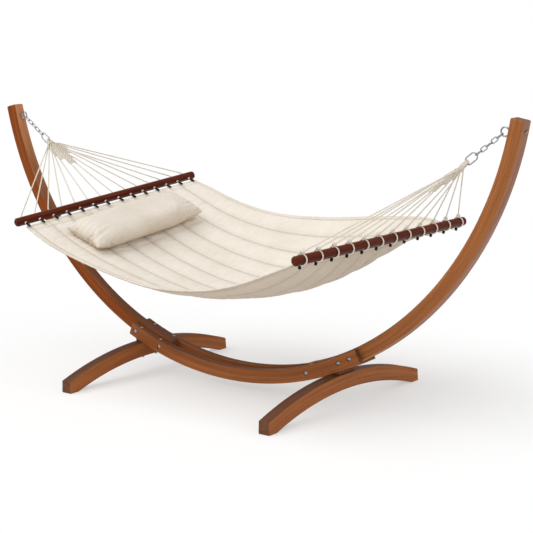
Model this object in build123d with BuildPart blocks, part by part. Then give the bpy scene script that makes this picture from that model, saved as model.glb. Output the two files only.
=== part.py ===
from build123d import *
import os
from math import asin, cos, radians, sin, sqrt

# Hammock with spreader bars, hung on an arched timber stand.
# X runs along the length with the pillow end at -X, Y runs across, Z is up.
# The origin is on the floor at the middle of the stand. All sizes are in millimetres.
# "near" is the -Y side, "far" the +Y side, "left" the pillow end.

# ---------------------------------------------------------------- driving dimensions
CLEARANCE = 0.3             # play of a pin in its hole, and between curved neighbours

ARM_RADIUS = 1631           # bent arm, on its middle line
ARM_DEPTH = 71
ARM_WIDTH = 63
ARM_CENTRE_X = 32           # the two arms bend about centres this far from the middle
ARM_CENTRE_Z = 1726
ARM_LOW_ANGLE = 15.4        # angles from straight down, in degrees
ARM_TIP_ANGLE = 78.7
EDGE_ROUND = 5              # rounding of the beams' and feet's edges
ARM_EDGE_ROUND = 8

BEAM_RADIUS = 1731          # curved base beam, on its middle line
BEAM_DEPTH = 72
BEAM_CENTRE_Z = 1812
BEAM_LEFT_ANGLE = 24.3
BEAM_RIGHT_ANGLE = 27.2
BEAM_INNER_Y = 32
BEAM_OUTER_Y = 67

FOOT_X = 656                # middle of each cross foot
FOOT_WIDTH = 65
FOOT_LENGTH = 1200
FOOT_CENTRE_Z = -1598       # centre of the foot's two arcs, below the floor
FOOT_TOP_RADIUS = 1764
FOOT_BOTTOM_RADIUS = 1688

SIDE_BOLT_RADIUS = 5
LEFT_SIDE_BOLTS = [(-679, 219), (-508, 156)]
RIGHT_SIDE_BOLTS = [(482, 151), (679, 226), (745, 256)]
SIDE_SEAT_RADIUS = 13
SIDE_SEAT_DEPTH = 3
FOOT_BOLT_RADIUS = 4
FOOT_BOLT_X = 645
BEAM_BOLT_Y = 50
FOOT_BOLT_SEAT_RADIUS = 11.5
FOOT_BOLT_SEAT_Z = 240
TOP_SCREW_X = 505
TOP_SCREW_RADIUS = 3
TOP_SCREW_LENGTH = 25

EYE_X = 1555
EYE_Z = 1350
EYE_RADIUS = 20             # on the wire's middle line
EYE_WIRE = 8
EYE_SEAT_X = 1651           # bottom of the nut's seat in the arm's outer face
EYE_SEAT_RADIUS = 12

LINK_COUNT = 5
LINK_INSIDE_LENGTH = 33
LINK_INSIDE_WIDTH = 13
LINK_WIRE = 5
RING_INSIDE_LENGTH = 60
RING_INSIDE_WIDTH = 29
RING_WIRE = 6.5
CHAIN_FALL = 36             # degrees below level, from the eye to the hammock

BAR_ACROSS_FLATS = 42
LEFT_BAR = (-893, 922)      # middle of the bar, X and Z
LEFT_BAR_LENGTH = 1334
LEFT_BAR_ROLL = 4.5         # the near end of the left bar hangs lower
RIGHT_BAR = (919, 832)
RIGHT_BAR_LENGTH = 1366
BAR_END_MARGIN = 60         # from a bar's end to its outermost cord
LEFT_CORDS = 14
RIGHT_CORDS = 12
CORD_RADIUS = 3.2
WRAP_RADIUS = 30            # corners of a cord's way round the right bar
WRAP_ANGLES = (50, -5, -60)
CORD_BEND = 36              # a left cord turns into its hole this far before the bar's middle
CORD_OUT = 22               # and turns towards its toggle this far after it
TOGGLE_RADIUS = 6
LEFT_TOGGLE_FROM = (31, 10)  # along the left cords' fall from the bar, and above it
LEFT_TOGGLE_TO = (68, 24)
RIGHT_TOGGLE_FROM = (-10, -33)  # X and Z from the right bar's middle
RIGHT_TOGGLE_WAY = (-0.25, -0.97)
RIGHT_TOGGLE_LENGTH = 16
CLEW_SHOULDER = 60          # widest place of a clew's woven kite, from the ring
CLEW_LENGTH = 200
CLEW_TIP_WIDTH = 26

# Quilted bed, by stations: X, near edge Z, far edge Z, and the dip between the edges.
BED_STATIONS = [
    (-838, 850, 953, 0),
    (-720, 793, 917, 23),
    (-600, 751, 875, 48),
    (-400, 698, 825, 83),
    (-200, 657, 801, 113),
    (0, 629, 801, 143),
    (200, 631, 811, 163),
    (400, 655, 829, 164),
    (580, 701, 842, 155),
    (740, 760, 845, 107),
    (869, 811, 816, 0),
]
BED_HALF_WIDTH = 627
FABRIC_THICKNESS = 1.6
WADDING_THICKNESS = 14
LAYER_GAP = 0.2
BINDING_WIDTH = 8
HEM_RADIUS = 7.5
DOWEL_RADIUS = 4
HEM_LENGTH = 1260
LEFT_HEM = (-849, 896)
RIGHT_HEM = (880, 803)

PILLOW_MIDDLE = (-622, -78, 832)
PILLOW_SLOPE = 21           # degrees down towards +X, as the bed lies there
PILLOW_ROLL = 5
PILLOW_TURN = -2            # turned on the bed, its far end towards the bar
# Half of the pillow's cross sections: place along its length, width and height.
PILLOW_SECTIONS = [(0, 262, 120), (200, 260, 116), (310, 254, 96), (370, 238, 58), (406, 210, 18)]
PILLOW_COVER_THICKNESS = 4

os.makedirs("parts", exist_ok=True)


def save(part, name):
    part.label = name
    export_step(part, f"parts/{name}.step")


# ---------------------------------------------------------------- bent timber
def on_arc(centre, radius, angle):
    """Point on an arc in XZ, at an angle from straight down, positive towards +X."""
    return (centre[0] + radius * sin(radians(angle)), centre[1] - radius * cos(radians(angle)))


def bent_board(centre, radius, depth, low, high, y_from, y_to, edge_round=EDGE_ROUND):
    """A board bent about `centre` in XZ, from angle `low` to `high`, between two Y planes."""
    outside, inside, middle = radius + depth / 2, radius - depth / 2, (low + high) / 2
    with BuildPart() as board:
        with BuildSketch(Plane.XZ.offset(-y_from)):
            with BuildLine():
                ThreePointArc(*[on_arc(centre, outside, angle) for angle in (low, middle, high)])
                Line(on_arc(centre, outside, high), on_arc(centre, inside, high))
                ThreePointArc(*[on_arc(centre, inside, angle) for angle in (high, middle, low)])
                Line(on_arc(centre, inside, low), on_arc(centre, outside, low))
            make_face()
        extrude(amount=y_from - y_to)
        if edge_round:
            fillet(board.edges(), edge_round)
    return board.part


def cross_planes(places):
    """Planes at the near face of the beams, facing out of the near face, at (x, z) places."""
    return [Plane(origin=(x, -BEAM_OUTER_Y, z), z_dir=(0, -1, 0)) for x, z in places]


def screw_plane(x, y):
    """Plane on a beam's top face, square to it, above (x, y)."""
    top_radius = BEAM_RADIUS - BEAM_DEPTH / 2 - 0.05
    tilt = asin(x / top_radius)
    return Plane(origin=(x, y, BEAM_CENTRE_Z - top_radius * cos(tilt)), z_dir=(-sin(tilt), 0, cos(tilt)))


for side, name, bolts in ((-1, "left_arm", LEFT_SIDE_BOLTS), (1, "right_arm", RIGHT_SIDE_BOLTS)):
    low, high = sorted((side * ARM_LOW_ANGLE, side * ARM_TIP_ANGLE))
    with BuildPart() as arm:
        add(bent_board((side * ARM_CENTRE_X, ARM_CENTRE_Z), ARM_RADIUS, ARM_DEPTH, low, high,
                       -ARM_WIDTH / 2, ARM_WIDTH / 2, ARM_EDGE_ROUND))
        with Locations(*cross_planes(bolts)):
            Hole(SIDE_BOLT_RADIUS + CLEARANCE, depth=2 * BEAM_OUTER_Y)
        with Locations(Plane(origin=(side * (EYE_SEAT_X + 20), 0, EYE_Z), z_dir=(side, 0, 0))):
            CounterBoreHole(EYE_WIRE / 2 + CLEARANCE, EYE_SEAT_RADIUS, 20, depth=120)
    save(arm.part, name)

for side, name in ((-1, "near_beam"), (1, "far_beam")):
    y_from, y_to = sorted((side * BEAM_INNER_Y, side * BEAM_OUTER_Y))
    places = LEFT_SIDE_BOLTS + RIGHT_SIDE_BOLTS
    seats = [Plane(origin=(x, side * BEAM_OUTER_Y, z), z_dir=(0, side, 0)) for x, z in places]
    with BuildPart() as beam:
        add(bent_board((0, BEAM_CENTRE_Z), BEAM_RADIUS, BEAM_DEPTH, -BEAM_LEFT_ANGLE,
                       BEAM_RIGHT_ANGLE, y_from, y_to))
        with Locations(*seats):
            CounterBoreHole(SIDE_BOLT_RADIUS + CLEARANCE, SIDE_SEAT_RADIUS, SIDE_SEAT_DEPTH, depth=60)
        with Locations(*[(x, side * BEAM_BOLT_Y, FOOT_BOLT_SEAT_Z + 15)
                         for x in (-FOOT_BOLT_X, FOOT_BOLT_X)]):
            CounterBoreHole(FOOT_BOLT_RADIUS + CLEARANCE, FOOT_BOLT_SEAT_RADIUS, 15, depth=120)
        with Locations(*[screw_plane(x, side * BEAM_BOLT_Y) for x in (-TOP_SCREW_X, TOP_SCREW_X)]):
            Hole(TOP_SCREW_RADIUS + CLEARANCE, depth=TOP_SCREW_LENGTH + 1)
    save(beam.part, name)

# ---------------------------------------------------------------- cross feet
beam_channel = bent_board((0, BEAM_CENTRE_Z), BEAM_RADIUS, BEAM_DEPTH + 2 * CLEARANCE, -40, 40,
                          -BEAM_OUTER_Y - 1, BEAM_OUTER_Y + 1, edge_round=0)

half = FOOT_LENGTH / 2
sole_from = sqrt(FOOT_BOTTOM_RADIUS ** 2 - FOOT_CENTRE_Z ** 2)
end_top = FOOT_CENTRE_Z + sqrt(FOOT_TOP_RADIUS ** 2 - half ** 2)
foot_top = FOOT_CENTRE_Z + FOOT_TOP_RADIUS
with BuildPart() as left_foot:
    with BuildSketch(Plane.YZ.offset(-FOOT_X)):
        with BuildLine():
            ThreePointArc((-half + 4, end_top), (0, foot_top), (half - 4, end_top))
            Polyline((half - 4, end_top), (half, 0), (sole_from, 0))
            ThreePointArc((sole_from, 0), (0, FOOT_CENTRE_Z + FOOT_BOTTOM_RADIUS), (-sole_from, 0))
            Polyline((-sole_from, 0), (-half, 0), (-half + 4, end_top))
        make_face()
    extrude(amount=FOOT_WIDTH / 2, both=True)
    fillet(left_foot.edges(), EDGE_ROUND - 1)
    add(beam_channel, mode=Mode.SUBTRACT)
    with Locations(*[(-FOOT_BOLT_X, y, 200) for y in (-BEAM_BOLT_Y, BEAM_BOLT_Y)]):
        Hole(FOOT_BOLT_RADIUS + CLEARANCE, depth=200)

# Wedge that fills the slanting gap between the foot's top and the beams.
with BuildPart() as left_wedge:
    with Locations((-FOOT_X - 10, 0, foot_top + 0.2)):
        Box(30, 2 * BEAM_OUTER_Y - 14, 20, align=(Align.CENTER, Align.CENTER, Align.MIN))
    add(beam_channel, mode=Mode.SUBTRACT)
    split(bisect_by=Plane(origin=(0, 0, foot_top + 18)), keep=Keep.BOTTOM)

with BuildPart() as right_foot:
    mirror(left_foot.part, about=Plane.YZ)
with BuildPart() as right_wedge:
    mirror(left_wedge.part, about=Plane.YZ)
save(left_foot.part, "left_foot")
save(right_foot.part, "right_foot")
save(left_wedge.part, "left_wedge")
save(right_wedge.part, "right_wedge")

# ---------------------------------------------------------------- bolts, nuts, washers
def dome_bolt(radius, length, head_radius, head_height):
    """Dome-headed bolt on the local Z axis: head above zero, shank below."""
    dome = (head_radius ** 2 + head_height ** 2) / (2 * head_height)
    half_angle = asin(head_radius / dome) / 2
    half_way = (dome * sin(half_angle), head_height - dome + dome * cos(half_angle))
    with BuildPart() as bolt:
        with BuildSketch(Plane.XZ):
            with BuildLine():
                Polyline((0, head_height), (0, -length), (radius, -length), (radius, 0),
                         (head_radius, 0))
                ThreePointArc((head_radius, 0), half_way, (0, head_height))
            make_face()
        revolve(axis=Axis.Z)
    return bolt.part


def hex_nut(bore_radius, across_flats, height):
    """Hexagon nut standing on the local XY plane, with its top edge rounded off by a cone."""
    with BuildPart() as nut:
        with BuildSketch():
            RegularPolygon(across_flats / 2, 6, major_radius=False)
            Circle(bore_radius, mode=Mode.SUBTRACT)
        extrude(amount=height)
        with BuildSketch():
            Circle(across_flats * 0.62)
        extrude(amount=height, taper=12, mode=Mode.INTERSECT)
    return nut.part


def washer(bore_radius, outer_radius, thickness):
    with BuildPart() as ring:
        with BuildSketch():
            Circle(outer_radius)
            Circle(bore_radius, mode=Mode.SUBTRACT)
        extrude(amount=thickness)
    return ring.part


def save_group(shape, planes, name):
    """One node of identical, separate pieces, one on each plane."""
    with BuildPart() as group:
        with Locations(*planes):
            add(shape)
    save(group.part, name)


head_seat_y = -BEAM_OUTER_Y + SIDE_SEAT_DEPTH
nut_seat_y = BEAM_OUTER_Y - SIDE_SEAT_DEPTH
side_bolt = dome_bolt(SIDE_BOLT_RADIUS, 2 * BEAM_OUTER_Y + 5, 11, 6)
side_washer = washer(SIDE_BOLT_RADIUS + CLEARANCE, 11, 2)
side_nut = hex_nut(SIDE_BOLT_RADIUS + 0.1, 17, 7)
for name, places in (("left", LEFT_SIDE_BOLTS), ("right", RIGHT_SIDE_BOLTS)):
    save_group(side_bolt, [Plane(origin=(x, head_seat_y, z), z_dir=(0, -1, 0)) for x, z in places],
               name + "_side_bolts")
    save_group(side_washer, [Plane(origin=(x, nut_seat_y, z), z_dir=(0, 1, 0)) for x, z in places],
               name + "_side_washers")
    save_group(side_nut, [Plane(origin=(x, nut_seat_y + 2, z), z_dir=(0, 1, 0)) for x, z in places],
               name + "_side_nuts")

foot_nut_top = FOOT_CENTRE_Z + sqrt(FOOT_BOTTOM_RADIUS ** 2 - (BEAM_BOLT_Y + 12) ** 2) - 0.3
foot_bolt = dome_bolt(FOOT_BOLT_RADIUS, FOOT_BOLT_SEAT_Z - foot_nut_top + 11, 10, 6)
foot_washer = washer(FOOT_BOLT_RADIUS + CLEARANCE, 10, 1.5)
foot_nut = hex_nut(FOOT_BOLT_RADIUS + 0.1, 13, 6.5)
top_screw = dome_bolt(TOP_SCREW_RADIUS, TOP_SCREW_LENGTH, 8.5, 5)
for side, name in ((-1, "left"), (1, "right")):
    ys = (-BEAM_BOLT_Y, BEAM_BOLT_Y)
    x = side * FOOT_BOLT_X
    save_group(foot_bolt, [Plane(origin=(x, y, FOOT_BOLT_SEAT_Z)) for y in ys], name + "_foot_bolts")
    save_group(foot_washer, [Plane(origin=(x, y, foot_nut_top), z_dir=(0, 0, -1)) for y in ys],
               name + "_foot_washers")
    save_group(foot_nut, [Plane(origin=(x, y, foot_nut_top - 1.5), z_dir=(0, 0, -1)) for y in ys],
               name + "_foot_nuts")
    save_group(top_screw, [screw_plane(side * TOP_SCREW_X, y) for y in ys], name + "_top_screws")

# ---------------------------------------------------------------- eye bolts
eye_washer = washer(EYE_WIRE / 2 + CLEARANCE, 10, 1.5)
eye_nut = hex_nut(EYE_WIRE / 2 + 0.1, 13, 6)
for side, name in ((-1, "left"), (1, "right")):
    shank_end = EYE_SEAT_X + 10
    with BuildPart() as eye_bolt:
        with Locations(Plane(origin=(side * EYE_X, 0, EYE_Z), z_dir=(0, 1, 0))):
            Torus(EYE_RADIUS, EYE_WIRE / 2)
        with Locations(Plane(origin=(side * shank_end, 0, EYE_Z), z_dir=(-side, 0, 0))):
            Cylinder(EYE_WIRE / 2, shank_end - EYE_X - EYE_RADIUS,
                     align=(Align.CENTER, Align.CENTER, Align.MIN))
        with Locations(Plane(origin=(side * (EYE_X + EYE_RADIUS + 2), 0, EYE_Z), z_dir=(side, 0, 0))):
            Cylinder(7, 3.4, align=(Align.CENTER, Align.CENTER, Align.MIN))
    save(eye_bolt.part, name + "_eye_bolt")
    save_group(eye_washer, [Plane(origin=(side * EYE_SEAT_X, 0, EYE_Z), z_dir=(side, 0, 0))],
               name + "_eye_washer")
    save_group(eye_nut, [Plane(origin=(side * (EYE_SEAT_X + 1.5), 0, EYE_Z), z_dir=(side, 0, 0))],
               name + "_eye_nut")


# ---------------------------------------------------------------- chains and hanging rings
def wire_link(inside_length, inside_width, wire):
    """Stadium-shaped link of round wire in the local XY plane, long way along local X."""
    end_radius = (inside_width + wire) / 2
    straight = (inside_length + wire) / 2 - end_radius
    with BuildPart() as link:
        with BuildLine() as path:
            Line((-straight, end_radius), (straight, end_radius))
            ThreePointArc((straight, end_radius), (straight + end_radius, 0), (straight, -end_radius))
            Line((straight, -end_radius), (-straight, -end_radius))
            ThreePointArc((-straight, -end_radius), (-straight - end_radius, 0), (-straight, end_radius))
        with BuildSketch(Plane(origin=(0, end_radius, 0), z_dir=(1, 0, 0))):
            Circle(wire / 2)
        sweep(path=path.wire())
    return link.part


chain_link = wire_link(LINK_INSIDE_LENGTH, LINK_INSIDE_WIDTH, LINK_WIRE)
hang_ring = wire_link(RING_INSIDE_LENGTH, RING_INSIDE_WIDTH, RING_WIRE)
ring_room = wire_link(RING_INSIDE_LENGTH - 0.8, RING_INSIDE_WIDTH - 0.8, RING_WIRE + 0.8)
first_link = LINK_INSIDE_LENGTH / 2 - EYE_WIRE / 2 - CLEARANCE
link_pitch = LINK_INSIDE_LENGTH - CLEARANCE
last_link_end = first_link + (LINK_COUNT - 1) * link_pitch + LINK_INSIDE_LENGTH / 2
ring_start = last_link_end - RING_WIRE / 2 - CLEARANCE
ring_middle = ring_start + (RING_INSIDE_LENGTH + RING_WIRE) / 2
chain_end = ring_start + RING_INSIDE_LENGTH + RING_WIRE


def chain_line(side, distance):
    """Point on a chain's line, at a distance from where it hangs in the eye."""
    along = EYE_RADIUS + distance
    return Vector(side * (EYE_X - along * cos(radians(CHAIN_FALL))), 0,
                  EYE_Z - along * sin(radians(CHAIN_FALL)))


def chain_plane(side, distance, upright):
    """Plane of a link on the chain's line, in the XZ plane if upright, else square to it."""
    along = Vector(-side * cos(radians(CHAIN_FALL)), 0, -sin(radians(CHAIN_FALL)))
    across = Vector(0, 1, 0)
    return Plane(origin=chain_line(side, distance), x_dir=along,
                 z_dir=across if upright else along.cross(across))


for side, name in ((-1, "left"), (1, "right")):
    links = [chain_plane(side, first_link + i * link_pitch, upright=i % 2 == 1) for i in range(LINK_COUNT)]
    save_group(chain_link, links, name + "_chain")
    save_group(hang_ring, [chain_plane(side, ring_middle, upright=True)], name + "_ring")


# ---------------------------------------------------------------- spreader bars
def bar_point(bar, roll, place):
    """Point on a bar's middle line, `place` along it from its middle."""
    return Vector(bar[0], place * cos(radians(roll)), bar[1] + place * sin(radians(roll)))


def cord_places(bar_length, count):
    reach = bar_length / 2 - BAR_END_MARGIN
    return [-reach + 2 * reach * i / (count - 1) for i in range(count)]


def spreader_bar(bar, length, roll):
    long_way = Vector(0, cos(radians(roll)), sin(radians(roll)))
    with BuildPart() as timber:
        with BuildSketch(Plane(origin=(bar[0], 0, bar[1]), x_dir=(1, 0, 0), z_dir=long_way)):
            RegularPolygon(BAR_ACROSS_FLATS / 2, 8, major_radius=False, rotation=22.5)
        extrude(amount=length / 2, both=True)
        ends = timber.faces().sort_by(Axis(origin=(0, 0, 0), direction=tuple(long_way)))
        chamfer(ends[0].edges() + ends[-1].edges(), 4)
    return timber.part


left_apex, right_apex = chain_line(-1, chain_end), chain_line(1, chain_end)
left_fall = (Vector(LEFT_BAR[0], 0, LEFT_BAR[1]) - left_apex).normalized()
right_fall = (Vector(RIGHT_BAR[0], 0, RIGHT_BAR[1]) - right_apex).normalized()
left_places = cord_places(LEFT_BAR_LENGTH, LEFT_CORDS)
right_places = cord_places(RIGHT_BAR_LENGTH, RIGHT_CORDS)
left_holes = [bar_point(LEFT_BAR, LEFT_BAR_ROLL, place) for place in left_places]
right_holes = [bar_point(RIGHT_BAR, 0, place) for place in right_places]

with BuildPart() as left_spreader_bar:
    add(spreader_bar(LEFT_BAR, LEFT_BAR_LENGTH, LEFT_BAR_ROLL))
    with Locations(*[Plane(origin=hole - left_fall * 40, z_dir=-left_fall) for hole in left_holes]):
        Hole(CORD_RADIUS + 1.3, depth=80)
save(left_spreader_bar.part, "left_spreader_bar")

right_bar = spreader_bar(RIGHT_BAR, RIGHT_BAR_LENGTH, 0)
save(right_bar, "right_spreader_bar")


# ---------------------------------------------------------------- clews, cords and toggles
def clew(apex, fall, reach, spread, side):
    """Bunch of cords: a neck looped round the ring's end, then a flat woven kite.

    `reach` is the distance from the ring to the bar, `spread` the place of its outermost cord.
    """
    wide = 2 * spread * CLEW_SHOULDER / reach + 12
    sections = ((-9, 22, 15), (20, 24, 15), (CLEW_SHOULDER, wide, 11), (CLEW_LENGTH, CLEW_TIP_WIDTH, 9))
    with BuildPart() as bunch:
        for along, across, thick in sections:
            with BuildSketch(Plane(origin=apex + fall * along, x_dir=(0, 1, 0), z_dir=fall)):
                RectangleRounded(across, thick, 4)
        loft(ruled=True)
        with Locations(chain_plane(side, ring_middle, upright=True)):
            add(ring_room, mode=Mode.SUBTRACT)
    return bunch.part


def save_cords(routes, name):
    """One node of separate cords, each swept along its own route with rounded bends."""
    with BuildPart() as cords:
        for points, bend in routes:
            start = (points[1] - points[0]).normalized()
            with BuildLine():
                FilletPolyline(*points, radius=bend)
            with BuildSketch(Plane(origin=points[0], z_dir=start)):
                Circle(CORD_RADIUS)
            sweep()
    save(cords.part, name)
    runs = [sum((b - a).length for a, b in zip(points, points[1:])) for points, _ in routes]
    print(f"{name}: {min(runs):.0f} to {max(runs):.0f} mm long")


def leaving_point(apex, target, reach, spread):
    """Where a cord to `target` comes out of the kite's lower edge."""
    shoulder = spread * CLEW_SHOULDER / reach + 6
    narrowing = (shoulder - CLEW_TIP_WIDTH / 2) / (CLEW_LENGTH - CLEW_SHOULDER)
    along = (shoulder + narrowing * CLEW_SHOULDER + 9) / (abs(target.Y) / reach + narrowing)
    return apex + (target - apex) * (min(along, CLEW_LENGTH + 7) / reach)


left_reach = (Vector(LEFT_BAR[0], 0, LEFT_BAR[1]) - left_apex).length
right_reach = (Vector(RIGHT_BAR[0], 0, RIGHT_BAR[1]) - right_apex).length
save(clew(left_apex, left_fall, left_reach, left_places[-1], -1), "left_clew")
save(clew(right_apex, right_fall, right_reach, right_places[-1], 1), "right_clew")

# Left cords run through holes in the bar and turn up to toggles that lie on the hem.
left_rise = Vector(-left_fall.Z, 0, left_fall.X)
left_toggle_from = left_fall * LEFT_TOGGLE_FROM[0] + left_rise * LEFT_TOGGLE_FROM[1]
left_toggle_to = left_fall * LEFT_TOGGLE_TO[0] + left_rise * LEFT_TOGGLE_TO[1]
left_routes = []
for hole in left_holes:
    leave = leaving_point(left_apex, hole, left_reach, left_places[-1])
    route = [leave, hole - left_fall * CORD_BEND, hole + left_fall * CORD_OUT, hole + left_toggle_from]
    left_routes.append((route, 10))
save_cords(left_routes, "left_cords")

# Right cords come over the bar's outer side and go round under it to the toggles.
right_toggle_from = Vector(RIGHT_TOGGLE_FROM[0], 0, RIGHT_TOGGLE_FROM[1])
right_toggle_way = Vector(RIGHT_TOGGLE_WAY[0], 0, RIGHT_TOGGLE_WAY[1])
right_routes = []
for hole in right_holes:
    corners = [hole + Vector(cos(radians(a)), 0, sin(radians(a))) * WRAP_RADIUS for a in WRAP_ANGLES]
    leave = leaving_point(right_apex, corners[0], right_reach, right_places[-1])
    right_routes.append(([leave] + corners + [hole + right_toggle_from], 14))
save_cords(right_routes, "right_cords")


def toggle(length):
    """Small barrel toggle standing on the local XY plane."""
    with BuildPart() as barrel:
        Cylinder(TOGGLE_RADIUS, length, align=(Align.CENTER, Align.CENTER, Align.MIN))
        fillet(barrel.edges(), 1.2)
    return barrel.part


left_toggle_way = left_toggle_to - left_toggle_from
left_starts = [hole + left_toggle_from + left_toggle_way.normalized() * 3 for hole in left_holes]
right_starts = [hole + right_toggle_from + right_toggle_way * 3 for hole in right_holes]
save_group(toggle(left_toggle_way.length - 3),
           [Plane(origin=start, z_dir=left_toggle_way) for start in left_starts], "left_toggles")
save_group(toggle(RIGHT_TOGGLE_LENGTH),
           [Plane(origin=start, z_dir=right_toggle_way) for start in right_starts], "right_toggles")

# ---------------------------------------------------------------- hems with dowels
for name, hem_place, roll in (("left", LEFT_HEM, LEFT_BAR_ROLL), ("right", RIGHT_HEM, 0)):
    middle = Plane(origin=(hem_place[0], 0, hem_place[1]), x_dir=(1, 0, 0),
                   z_dir=(0, cos(radians(roll)), sin(radians(roll))))
    with BuildPart() as hem:
        with BuildSketch(middle):
            Circle(HEM_RADIUS)
            Circle(DOWEL_RADIUS + CLEARANCE, mode=Mode.SUBTRACT)
        extrude(amount=HEM_LENGTH / 2, both=True)
    save(hem.part, name + "_hem")
    with BuildPart() as dowel:
        with BuildSketch(middle):
            Circle(DOWEL_RADIUS)
        extrude(amount=HEM_LENGTH / 2 - 5, both=True)
    save(dowel.part, name + "_hem_dowel")


# ---------------------------------------------------------------- quilted bed
def bed_layer(top_drop, bottom_drop):
    """One layer of the bed, between two depths below its top surface."""
    with BuildPart() as layer:
        for x, near_z, far_z, dip in BED_STATIONS:
            near, far = (-BED_HALF_WIDTH, near_z), (BED_HALF_WIDTH, far_z)
            pull = (0, (near_z + far_z) / 2 - 2 * dip)
            top = [(y, z - top_drop) for y, z in (near, pull, far)]
            bottom = [(y, z - bottom_drop) for y, z in (far, pull, near)]
            with BuildSketch(Plane.YZ.offset(x)):
                with BuildLine():
                    Bezier(*top)
                    Line(top[-1], bottom[0])
                    Bezier(*bottom)
                    Line(bottom[-1], top[0])
                make_face()
        loft()
    return layer.part


def edge_binding(side):
    """Binding strip that closes one long edge of the bed."""
    thickness = 2 * FABRIC_THICKNESS + WADDING_THICKNESS + 2 * LAYER_GAP
    with BuildPart() as strip:
        for x, near_z, far_z, _ in BED_STATIONS:
            edge_z = near_z if side < 0 else far_z
            with BuildSketch(Plane.YZ.offset(x)):
                with Locations((side * (BED_HALF_WIDTH + CLEARANCE + BINDING_WIDTH / 2),
                                edge_z - thickness / 2)):
                    RectangleRounded(BINDING_WIDTH, thickness, 3)
        loft()
    return strip.part


wadding_top = FABRIC_THICKNESS + LAYER_GAP
wadding_bottom = wadding_top + WADDING_THICKNESS
lower_top = wadding_bottom + LAYER_GAP
save(bed_layer(0, FABRIC_THICKNESS), "bed_upper_fabric")
save(bed_layer(wadding_top, wadding_bottom), "bed_wadding")
save(bed_layer(lower_top, lower_top + FABRIC_THICKNESS), "bed_lower_fabric")
save(edge_binding(-1), "near_edge_binding")
save(edge_binding(1), "far_edge_binding")


# ---------------------------------------------------------------- pillow
def pillow_form(inset):
    """The pillow's long cushion, smaller all round by `inset`, before it rests on the bed."""
    roll, slope, turn = radians(PILLOW_ROLL), radians(PILLOW_SLOPE), radians(PILLOW_TURN)
    across_bed = Vector(0, cos(roll), sin(roll))
    along_bed = Vector(cos(slope), 0, -sin(slope))
    long_way = (across_bed * cos(turn) + along_bed * sin(turn)).normalized()
    down_way = along_bed * cos(turn) - across_bed * sin(turn)
    mirrored = [(-place, wide, high) for place, wide, high in PILLOW_SECTIONS[:0:-1]]
    with BuildPart() as cushion:
        for place, wide, high in mirrored + PILLOW_SECTIONS:
            place -= inset * place / PILLOW_SECTIONS[-1][0]
            with BuildSketch(Plane(origin=Vector(*PILLOW_MIDDLE) + long_way * place, x_dir=down_way,
                                   z_dir=long_way)):
                Ellipse(wide / 2 - inset, max(high / 2 - inset, 3))
        loft()
    return cushion.part


def on_bed(form, lift):
    """A soft form with its underside shaped by the bed, `lift` above the bed's top surface."""
    with BuildPart() as shaped:
        add(form)
        add(bed_layer(-lift, 120), mode=Mode.SUBTRACT)
    return shaped.part


cover_outside = on_bed(pillow_form(0), 0.6)
with BuildPart() as pillow_cover:
    add(cover_outside)
    add(on_bed(pillow_form(PILLOW_COVER_THICKNESS), 0.6 + PILLOW_COVER_THICKNESS), mode=Mode.SUBTRACT)
save(pillow_cover.part, "pillow_cover")
with BuildPart() as pillow_filling:
    add(on_bed(pillow_form(PILLOW_COVER_THICKNESS + CLEARANCE), 0.6 + PILLOW_COVER_THICKNESS + CLEARANCE))
save(pillow_filling.part, "pillow_filling")
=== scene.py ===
import math

import bpy
import numpy as np
from mathutils import Matrix, Vector
from mathutils.bvhtree import BVHTree


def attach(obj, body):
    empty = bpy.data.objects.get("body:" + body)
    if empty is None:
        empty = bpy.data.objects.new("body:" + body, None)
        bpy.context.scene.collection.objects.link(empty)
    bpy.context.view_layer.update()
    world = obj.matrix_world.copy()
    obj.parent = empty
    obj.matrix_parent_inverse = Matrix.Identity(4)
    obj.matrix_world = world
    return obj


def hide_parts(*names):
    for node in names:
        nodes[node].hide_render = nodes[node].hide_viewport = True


# A quilted hammock with spreader bars, on an arched timber stand.
# Metres, in the CAD frame: X along the length with the pillow at -X, Y across, Z up.

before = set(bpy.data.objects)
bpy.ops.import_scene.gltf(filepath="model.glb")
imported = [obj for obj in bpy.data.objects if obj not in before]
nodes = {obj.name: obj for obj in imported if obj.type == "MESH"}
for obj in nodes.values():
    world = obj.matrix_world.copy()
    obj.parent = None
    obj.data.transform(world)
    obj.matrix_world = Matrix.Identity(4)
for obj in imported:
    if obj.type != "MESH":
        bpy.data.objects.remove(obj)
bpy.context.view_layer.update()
rng = np.random.default_rng(7)

# ---------------- places, from the CAD
LEFT_BAR = (-0.893, 0.922)
LEFT_BAR_LENGTH = 1.334
LEFT_BAR_ROLL = math.radians(4.5)
LEFT_REACH = 0.607
RIGHT_BAR = (0.919, 0.832)
RIGHT_BAR_LENGTH = 1.352
RIGHT_REACH = 0.623
LEFT_COUNT, RIGHT_COUNT = 14, 12
LEFT_APEX, RIGHT_APEX = (-1.35885, 0, 1.20749), (1.35885, 0, 1.20749)
HEM_RADIUS = 0.0075
LEFT_HEM, RIGHT_HEM = (-0.849, 0.896), (0.880, 0.803)
HEM_LENGTH = 1.26
BED_FROM, BED_TO = -0.838, 0.869
BED_HALF_WIDTH = 0.627
BED_THICKNESS = 0.0176
SEAMS = [-0.49, -0.35, -0.21, -0.07, 0.07, 0.21, 0.35, 0.49]
BINDING_INNER = 0.612
HEM_SEAM = 0.026

CORD_RADIUS = 0.0033
PILLOW_MIDDLE = (-0.622, -0.078, 0.832)
PILLOW_SLOPE = math.radians(21)
PILLOW_ROLL = math.radians(5)
PILLOW_TURN = math.radians(-2)
PILLOW_HALF_LENGTH = 0.406
PILLOW_WIDTH, PILLOW_HEIGHT = 0.262, 0.122


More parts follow.
